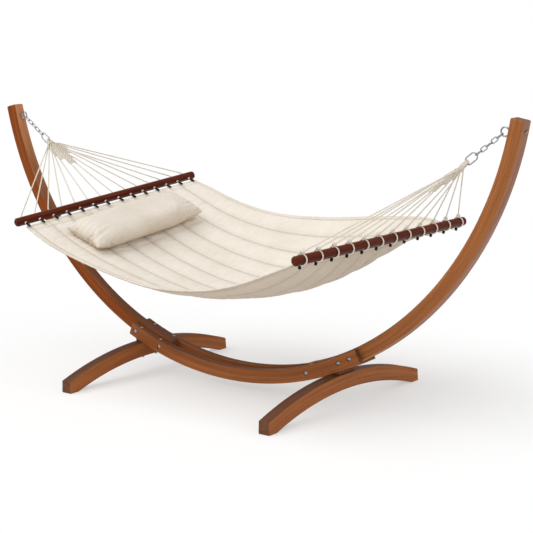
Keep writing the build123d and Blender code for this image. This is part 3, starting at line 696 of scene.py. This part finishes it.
# Turn round the bar: angle, and how far the cord has moved along the bar there.
HITCH = [(130, -0.001), (160, 0.000), (195, 0.000), (230, 0.000), (262, 0.001), (292, 0.003), (322, 0.005),
         (352, 0.006), (382, 0.006), (412, 0.005), (440, 0.003)]
RIGHT_TOGGLE_TOP, RIGHT_NECK = (-0.010, 0.003, -0.0226), (0.002, 0, 0.0001)
KNOT_ANGLE = 88
# The knot's turn in radians, its length and the radii of its coil and cord.
KNOT_TURN, KNOT_LENGTH, KNOT_COIL, KNOT_CORD = 3.6 * math.pi, 0.012, 0.0072, 0.0043
cords, wefts, toggles, loops = Shape(), Shape(), Shape(), Shape()
targets, tails = [], []
for place in right_places:
    shift = rng.uniform(-0.003, 0.003)
    targets.append(around(RIGHT_BAR, KNOT_ANGLE, WRAP + 0.005, place - 0.001))
    tails.append([around(RIGHT_BAR, angle, WRAP,
                         place + dy + shift * math.sin(math.radians(angle - KNOT_ANGLE) / 2))
                  for angle, dy in HITCH])
    standing = unit(targets[-1] - right_fan.at(0.2, place * 0.3, 0))
    middle = targets[-1] - standing * 0.008
    side = unit(np.cross(standing, ACROSS))
    knot = [middle + standing * (KNOT_LENGTH * a / KNOT_TURN - 0.003)
            + KNOT_COIL * (math.cos(a) * side + math.sin(a) * np.cross(standing, side))
            for a in np.linspace(0, KNOT_TURN, 34)]
    cords.tube(knot, KNOT_CORD, 8)
    toggle_from = np.array((RIGHT_BAR[0], place, RIGHT_BAR[1])) + RIGHT_TOGGLE_TOP
    neck = toggle_from + RIGHT_NECK
    way = unit((-0.25, 0, -0.97))
    cords.tube([neck, (neck + toggle_from) / 2, toggle_from + way * 0.003], 0.0028, 8)
    toggles.lathe(toggle_profile(RIGHT_TOGGLE_LENGTH, RIGHT_TOGGLE_THICKNESS), toggle_from, way)
    hem_loop(loops, toggle_from + way * 0.012 - (0.004, 0, 0), RIGHT_HEM, toggle_from[1])
hang(right_fan, targets, tails, clew_rows(0.044, (2, 2, 3, 4, 5, 6)), 0.035, 0.0105, cords, wefts)
wefts.tube(whipping(right_fan, 0.010, 0.037, 0.0135, 0.0100, 0.0022), 0.0022, 8)
end_pieces("right_")


# ---------------- the bed's surface, read from the CAD
class BedSurface:
    """The bed's top: near edge, far edge and dip between them, smooth along X."""

    def __init__(self, node):
        tree = BVHTree.FromPolygons([v.co for v in node.data.vertices],
                                    [p.vertices for p in node.data.polygons])
        self.xs = np.linspace(BED_FROM + 0.001, BED_TO - 0.001, 15)
        rows = []
        for x in self.xs:
            near, middle, far = [tree.ray_cast(Vector((x, y, 3)), Vector((0, 0, -1)))[0].z
                                 for y in (-BED_HALF_WIDTH + 0.001, 0, BED_HALF_WIDTH - 0.001)]
            rows.append((near, far, (near + far) / 2 - middle))
        self.rows = np.array(rows)
        self.bends = np.stack([self.second_derivatives(column) for column in self.rows.T], axis=1)

    def second_derivatives(self, values):
        """Of the natural cubic spline through the values."""
        count, step = len(self.xs), self.xs[1] - self.xs[0]
        matrix, right = np.eye(count), np.zeros(count)
        for i in range(1, count - 1):
            matrix[i, i - 1:i + 2] = (1, 4, 1)
            right[i] = 6 * (values[i + 1] - 2 * values[i] + values[i - 1]) / step ** 2
        return np.linalg.solve(matrix, right)

    def along(self, x):
        """Near edge, far edge and dip at x."""
        step = self.xs[1] - self.xs[0]
        i = np.clip(((x - self.xs[0]) / step).astype(int), 0, len(self.xs) - 2)
        b = (x - self.xs[i]) / step
        a = 1 - b
        cubic = (a ** 3 - a)[..., None] * self.bends[i] + (b ** 3 - b)[..., None] * self.bends[i + 1]
        cubic *= step ** 2 / 6
        return a[..., None] * self.rows[i] + b[..., None] * self.rows[i + 1] + cubic

    def top(self, x, y):
        """Height of the bed's top."""
        x, y = np.broadcast_arrays(np.asarray(x, float), np.asarray(y, float))
        values = self.along(x)
        t = y / BED_HALF_WIDTH
        return (values[..., 0] * (0.5 - t / 2) + values[..., 1] * (0.5 + t / 2)
                - values[..., 2] * (1 - np.minimum(t * t, 1.05)))

    def middle(self, x, y):
        """Points on the surface halfway through the bed's thickness, and their normals."""
        x, y = np.broadcast_arrays(np.asarray(x, float), np.asarray(y, float))
        reach = 0.002
        slope_x = (self.top(x + reach, y) - self.top(x - reach, y)) / (2 * reach)
        slope_y = (self.top(x, y + reach) - self.top(x, y - reach)) / (2 * reach)
        normal = np.stack((-slope_x, -slope_y, np.ones_like(x)), axis=-1)
        normal /= np.linalg.norm(normal, axis=-1)[..., None]
        return np.stack((x, y, self.top(x, y) - BED_THICKNESS / 2), axis=-1), normal


bed = BedSurface(nodes["bed_upper_fabric"])


# ---------------- cloth
def inflate(piece, pressure, frames, cap, extra=0.0, pins=None, stiffness=15.0, bending=0.5):
    """Runs Blender's cloth on a closed piece with pressure and no gravity, and keeps the result."""
    mesh = piece.data
    before = np.zeros(len(mesh.vertices) * 3)
    mesh.vertices.foreach_get("co", before)
    cloth = piece.modifiers.new("cloth", "CLOTH")
    settings = cloth.settings
    settings.quality = 5
    settings.mass = 0.3
    settings.tension_stiffness = settings.compression_stiffness = stiffness
    settings.shear_stiffness = 5
    settings.bending_stiffness = bending
    settings.use_pressure = True
    settings.uniform_pressure_force = pressure
    settings.shrink_min = -extra
    settings.effector_weights.gravity = 0
    cloth.collision_settings.use_collision = False
    if pins is not None:
        group = piece.vertex_groups.new(name="sewn")
        group.add([int(i) for i in pins], 1.0, "REPLACE")
        settings.vertex_group_mass = "sewn"
    cloth.point_cache.frame_start, cloth.point_cache.frame_end = 1, frames
    for number in range(1, frames + 1):
        bpy.context.scene.frame_set(number)
    after = np.zeros_like(before)
    piece.evaluated_get(bpy.context.evaluated_depsgraph_get()).data.vertices.foreach_get("co", after)
    piece.modifiers.remove(cloth)
    piece.vertex_groups.clear()
    bpy.context.scene.frame_set(1)
    move = (after - before).reshape(-1, 3)
    size = np.linalg.norm(move, axis=1)
    move *= np.minimum(1, cap / np.maximum(size, 1e-9))[:, None]
    mesh.vertices.foreach_set("co", (before.reshape(-1, 3) + move).ravel())
    mesh.update()


def subdivide(piece):
    """Applies one subdivision, with no operator."""
    piece.modifiers.new("smooth", "SUBSURF").levels = 1
    mesh = bpy.data.meshes.new_from_object(piece.evaluated_get(bpy.context.evaluated_depsgraph_get()))
    piece.modifiers.clear()
    piece.data = mesh


def two_sheets(upper, lower):
    """Vertices and faces of a closed piece from two equal grids that meet along their edges."""
    rows, columns = upper.shape[:2]
    total = rows * columns
    index = np.arange(total).reshape(rows, columns)
    faces = []
    for i in range(rows - 1):
        for j in range(columns - 1):
            quad = (index[i, j], index[i + 1, j], index[i + 1, j + 1], index[i, j + 1])
            faces.append(quad)
            faces.append(tuple(total + q for q in reversed(quad)))
    loop = [*index[:, 0], *index[-1, 1:], *index[-2::-1, -1], *index[0, -2:0:-1]]
    for a, b in zip(loop, loop[1:] + loop[:1]):
        faces.append((b, a, total + a, total + b))
    return np.concatenate((upper.reshape(-1, 3), lower.reshape(-1, 3))), faces


# ---------------- quilt
SEAM_HALF = 0.0020
CHANNEL_HALF = 0.0070
CHANNEL_RISE = 0.062                # from a seam to the full height of a channel
RIPPLE, RIPPLE_FADE = 0.00022, 0.030
RIPPLE_LENGTHS = (0.041, 0.067, 0.108)
QUILT_EDGE = 0.630
MARGIN_HALF = SEAM_HALF + 0.0006
BESIDE = 0.0045                     # from a seam to the first line of the mesh beside it
bounds_y = [-QUILT_EDGE, -BINDING_INNER] + SEAMS + [BINDING_INNER, QUILT_EDGE]
ys = []
for low, high in zip(bounds_y, bounds_y[1:]):
    narrow = high - low < 0.05
    ys += [low, (low + high) / 2] if narrow else [low, *np.linspace(low + BESIDE, high - BESIDE, 11)]
ys = np.array(ys + [QUILT_EDGE])
left_seam, right_seam = BED_FROM + HEM_SEAM, BED_TO - HEM_SEAM
xs = np.concatenate(([BED_FROM - 0.0045, BED_FROM, BED_FROM + 0.009, left_seam - BESIDE, left_seam],
                     np.linspace(left_seam + BESIDE, right_seam - BESIDE, 158),
                     [right_seam, right_seam + BESIDE, BED_TO - 0.009, BED_TO, BED_TO + 0.0035]))
X, Y = np.meshgrid(xs, ys, indexing="ij")


def seam_distance(x, y):
    """Distance to the nearest sewn line, with lengthwise and crosswise lines together."""
    lengthwise = np.min([np.abs(y - s) for s in SEAMS + [-BINDING_INNER, BINDING_INNER]], axis=0)
    crosswise = np.minimum(np.abs(x - left_seam), np.abs(x - right_seam))
    return np.minimum(lengthwise, crosswise)


def quilt_half(x, y):
    """Half the quilt's thickness."""
    q = np.clip(seam_distance(x, y) / CHANNEL_RISE, 0, 1)
    puff = SEAM_HALF + (CHANNEL_HALF - SEAM_HALF) * (1 - (1 - q) ** 2.4)
    margin = (np.abs(y) > BINDING_INNER) | (x < left_seam) | (x > right_seam)
    return np.where(margin, MARGIN_HALF, puff)


def ripples(x, y, seed):
    """Small gathers that run across each seam and fade away from it."""
    phases = np.random.default_rng(seed)
    total = np.zeros_like(x)
    for seam in SEAMS:
        near = np.exp(-(np.abs(y - seam) / RIPPLE_FADE))
        wave = sum(np.sin(2 * math.pi * (x / length + phases.uniform() + 2.0 * (y - seam)))
                   for length in RIPPLE_LENGTHS)
        total += near * wave
    return total


points, normals = bed.middle(X, Y)
half = quilt_half(X, Y)
sewn = seam_distance(X, Y) < 0.0005
sewn[[0, -1], :] = True
sewn[:, [0, -1]] = True
fade = np.clip(seam_distance(X, Y) / 0.010, 0, 1)
upper = points + normals * (half + RIPPLE * fade * ripples(X, Y, 11))[..., None]
lower = points - normals * (half + RIPPLE * fade * ripples(X, Y, 12))[..., None]
quilt_shape = Shape()
quilt_shape.add(*two_sheets(upper, lower))
quilt = quilt_shape.piece("quilt", "hammock", bed_cloth, "bed_fabric", "bed_upper_fabric", "bed_wadding",
                          "bed_lower_fabric")
pinned = np.flatnonzero(np.concatenate((sewn.ravel(), sewn.ravel())))
inflate(quilt, 1.5, 14, 0.006, extra=0.010, pins=pinned, bending=0.3)
subdivide(quilt)

# Sewn lines: short threads lying in each groove, above and below.
stitches = Shape()
STITCH, STITCH_PITCH = 0.0042, 0.0066


def sew(line):
    """Stitches along a line of points, given with the normals that they lie on."""
    for middle, way, normal in line:
        corners = [middle + way * STITCH * f + normal * h for f, h in
                   ((-0.5, -0.0006), (-0.34, 0.0003), (0.0, 0.0006), (0.34, 0.0003), (0.5, -0.0006))]
        stitches.tube(corners, [0.0002, 0.00055, 0.00065, 0.00055, 0.0002], 6)


def sewn_line(x, y, lift):
    """Places, directions and normals along a line on the quilt, `lift` off its middle surface."""
    middle, normal = bed.middle(x, y)
    return [(m + n * lift, w, n * np.sign(lift)) for m, w, n in zip(middle, directions(middle), normal)]


lengthwise = np.arange(left_seam + 0.003, right_seam - 0.003, STITCH_PITCH)
crosswise = np.arange(-0.605, 0.606, STITCH_PITCH)
for lift in (SEAM_HALF + 0.0008, -SEAM_HALF - 0.0008):
    for seam in SEAMS:
        sew(sewn_line(lengthwise, np.full_like(lengthwise, seam), lift))
    for place in (left_seam, right_seam):
        sew(sewn_line(np.full_like(crosswise, place), crosswise, lift))


# ---------------- edge bindings and hem sleeves
# The binding is a folded tape: flat on the quilt, round over its edge.
# Its profile is (outwards, along the normal) from the line that it runs along.
TAPE_LINE, TAPE_STITCHES, TAPE_LIFT = 0.6305, 0.6115, 0.0047
TAPE_WANDER, TAPE_WAVE = 0.00045, 0.0003
WANDER_LENGTHS = (0.029, 0.047, 0.083)
BINDING = [(-0.0235, 0.0008), (-0.0228, 0.0040), (-0.0200, 0.0044), (-0.0120, 0.0052), (-0.0050, 0.0058),
           (0.0010, 0.0046), (0.0036, 0.0022), (0.0045, 0.0)]
BINDING += [(a, -b) for a, b in reversed(BINDING[:-1])]
tape_x = np.linspace(BED_FROM - 0.003, BED_TO + 0.003, 330)
for side, name in ((-1, "near"), (1, "far")):
    middle, normal = bed.middle(tape_x, np.full_like(tape_x, side * TAPE_LINE))
    out = np.cross(directions(middle), normal)
    out *= np.sign(out[:, 1] * side)[:, None]
    wander = sum(np.sin(2 * math.pi * (tape_x / length + rng.uniform())) for length in WANDER_LENGTHS)
    aside, off = TAPE_WANDER * wander, TAPE_WAVE * np.roll(wander, 7)
    middle = middle + out * aside[:, None] + normal * off[:, None]
    profile = BINDING if side < 0 else BINDING[::-1]
    tape = Shape()
    tape.add([m + a * o + b * n for m, o, n in zip(middle, out, normal) for a, b in profile],
             skin(len(middle), len(profile)))
    tape.piece(name + "_binding_tape", "hammock", tape_cloth, "bed_fabric", name + "_edge_binding")
    inner = np.arange(BED_FROM + 0.003, BED_TO - 0.003, STITCH_PITCH)
    for lift in (TAPE_LIFT, -TAPE_LIFT):
        sew(sewn_line(inner, np.full_like(inner, side * TAPE_STITCHES), lift))
stitches.piece("quilt_stitching", "hammock", thread, "bed_fabric")


HEM_BORE, HEM_GATHER = 0.0043, 0.00022
GATHER_LENGTHS = (0.019, 0.031, 0.057, 0.110)


def hem_sleeve(name, hem, roll, replaced):
    """Cloth tube round the dowel, gathered slightly along its length."""
    count, along = 28, np.linspace(-HEM_LENGTH / 2, HEM_LENGTH / 2, 300)
    angles = np.linspace(0, 2 * math.pi, count, endpoint=False)
    phase = rng.uniform(0, 1, 4)
    points = []
    for place in along:
        y = place * math.cos(roll)
        z = hem[1] + place * math.sin(roll)
        for inner in (False, True):
            for angle in angles:
                gather = sum(math.sin(2 * math.pi * (place / length + p + 0.16 * math.cos(angle + 6 * p)))
                             for length, p in zip(GATHER_LENGTHS, phase))
                radius = HEM_BORE if inner else HEM_RADIUS - 0.0002 + HEM_GATHER * gather
                out, up = radius * math.cos(angle), radius * math.sin(angle)
                points.append((hem[0] + out, y - up * math.sin(roll), z + up * math.cos(roll)))
    ring = 2 * count
    last = (len(along) - 1) * ring
    edges = [(a, (a + 1) % count) for a in range(count)]
    faces = []
    for k in range(0, last, ring):
        for a, b in edges:
            faces.append((k + a, k + ring + a, k + ring + b, k + b))
            faces.append((k + count + a, k + count + b, k + ring + count + b, k + ring + count + a))
    for a, b in edges:
        faces.append((a, b, count + b, count + a))
        faces.append((last + b, last + a, last + count + a, last + count + b))
    shape = Shape()
    shape.add(points, faces)
    shape.piece(name, "hammock", hem_cloth, "bed_fabric", replaced)


hem_sleeve("left_hem_sleeve", LEFT_HEM, LEFT_BAR_ROLL, "left_hem")
hem_sleeve("right_hem_sleeve", RIGHT_HEM, 0.0, "right_hem")


# ---------------- pillow
SHEET_LENGTH, SHEET_WIDTH = 0.84, 0.32
PILLOW_GATHER = 0.0017
PILLOW_CLEAR = 0.0012               # between the pillow and the bed under it
SETTLE = 0.004                      # height over which the pillow's underside flattens on the bed
u = np.linspace(-1, 1, 121)
v = np.linspace(-1, 1, 45)
U, V = np.meshgrid(u, v, indexing="ij")
edge = np.clip((1 - U ** 2) * (1 - V ** 2), 0, 1)
taper = 1 - 0.16 * np.abs(U) ** 6
bulge = 0.0008 + 0.030 * edge ** 0.6
sheets = [np.stack((V * taper * SHEET_WIDTH / 2, U * SHEET_LENGTH / 2, sign * bulge), axis=-1)
          for sign in (1, -1)]
pillow_shape = Shape()
pillow_shape.add(*two_sheets(*sheets))
pillow = pillow_shape.piece("pillow_cushion", "pillow", pillow_cloth, "pillow_fabric", "pillow_cover",
                            "pillow_filling")
inflate(pillow, 12.0, 40, 0.09, stiffness=25.0, bending=0.25)
subdivide(pillow)
co = np.array([vertex.co for vertex in pillow.data.vertices])
co -= (co.max(0) + co.min(0)) / 2
size = co.max(0) - co.min(0)
co *= (PILLOW_WIDTH / size[0], 2 * PILLOW_HALF_LENGTH / size[1], PILLOW_HEIGHT / size[2])
across_bed = np.array((0, math.cos(PILLOW_ROLL), math.sin(PILLOW_ROLL)))
along_bed = np.array((math.cos(PILLOW_SLOPE), 0, -math.sin(PILLOW_SLOPE)))
# Gathers run from the end seams towards the middle.
end = np.clip((np.abs(co[:, 1]) / PILLOW_HALF_LENGTH - 0.60) / 0.30, 0, 1)
waves = np.sin(2 * math.pi * co[:, 0] / 0.031 + 3.0 * co[:, 1] / 0.1)
waves += 0.7 * np.sin(2 * math.pi * co[:, 0] / 0.047 + 1.0)
co[:, 2] += PILLOW_GATHER * np.sign(co[:, 2]) * waves * end * np.clip(np.abs(co[:, 2]) / 0.02, 0, 1)
long_way = unit(across_bed * math.cos(PILLOW_TURN) + along_bed * math.sin(PILLOW_TURN))
down_way = along_bed * math.cos(PILLOW_TURN) - across_bed * math.sin(PILLOW_TURN)
up_way = np.cross(down_way, long_way)
co = np.array(PILLOW_MIDDLE) + co[:, :1] * down_way + co[:, 1:2] * long_way + co[:, 2:] * up_way
rest = bed.top(co[:, 0], co[:, 1]) + PILLOW_CLEAR
sunk = rest - co[:, 2]
settled = rest + SETTLE * 0.5 * np.exp(-np.maximum(sunk + SETTLE, 0) / SETTLE)
co[:, 2] = np.where(sunk > -SETTLE, settled, co[:, 2])
pillow.data.vertices.foreach_set("co", co.ravel())
finished(pillow, "pillow", pillow_cloth, "pillow_fabric")

# ---------------- floor, light and camera
floor_mesh = bpy.data.meshes.new("floor")
floor_mesh.from_pydata([(-30, -30, 0), (30, -30, 0), (30, 30, 0), (-30, 30, 0)], [], [(0, 1, 2, 3)])
floor = bpy.data.objects.new("floor", floor_mesh)
bpy.context.scene.collection.objects.link(floor)
pale = Finish("pale_floor", Roughness=0.9, Specular_IOR_Level=0.05, Emission_Strength=0.47)
pale.set(pale.ramp(pale.noise(pale.put("TexCoord").outputs["Object"], 0.6, 2.0),
                   (0.3, (0.50, 0.50, 0.50)), (0.7, (0.51, 0.51, 0.51))))
pale.shader.inputs["Emission Color"].default_value = (1, 1, 1, 1)
floor_mesh.materials.append(pale.material)

# The sky behind is white, and lights the object more gently than it looks.
world = bpy.data.worlds.new("studio")
bpy.context.scene.world = world
world.use_nodes = True
sky = world.node_tree.nodes["Background"]
sky.inputs[0].default_value = (1.0, 1.0, 1.0, 1)
seen = world.node_tree.nodes.new("ShaderNodeLightPath")
strength = world.node_tree.nodes.new("ShaderNodeMapRange")
strength.inputs[3].default_value = 0.50
strength.inputs[4].default_value = 1.0
world.node_tree.links.new(seen.outputs["Is Camera Ray"], strength.inputs[0])
world.node_tree.links.new(strength.outputs[0], sky.inputs[1])


def sunlight(name, towards, spread, strength):
    """Even light from one side; spread is the angle that it comes from, in degrees."""
    light = bpy.data.lights.new(name, "SUN")
    light.angle = math.radians(spread)
    light.energy = strength
    lamp = bpy.data.objects.new(name, light)
    lamp.rotation_euler = Vector(towards).to_track_quat("-Z", "Y").to_euler()
    bpy.context.scene.collection.objects.link(lamp)


sunlight("key", (0.40, 0.48, -1.0), 60, 1.72)
sunlight("fill", (-0.9, 0.30, -0.40), 70, 0.80)

bpy.context.scene.view_settings.view_transform = "Standard"

CAMERA_PLACE = (4.749, -5.407, 1.891)
LENS, SENSOR = 97.73, 36
AZIMUTH, PITCH, ROLL = math.radians(40.09), math.radians(10.03), math.radians(-1.72)
back = Vector((math.sin(AZIMUTH) * math.cos(PITCH), -math.cos(AZIMUTH) * math.cos(PITCH), math.sin(PITCH)))
right = Vector((math.cos(AZIMUTH), math.sin(AZIMUTH), 0))
up = right.cross(-back)
turned_x = right * math.cos(ROLL) + up * math.sin(ROLL)
turned_y = up * math.cos(ROLL) - right * math.sin(ROLL)
camera = bpy.data.objects.new("camera", bpy.data.cameras.new("camera"))
camera.data.lens = LENS
camera.data.sensor_width = SENSOR
turn = Matrix((turned_x, turned_y, back)).transposed().to_4x4()
camera.matrix_world = Matrix.Translation(CAMERA_PLACE) @ turn
bpy.context.scene.collection.objects.link(camera)
bpy.context.scene.camera = camera
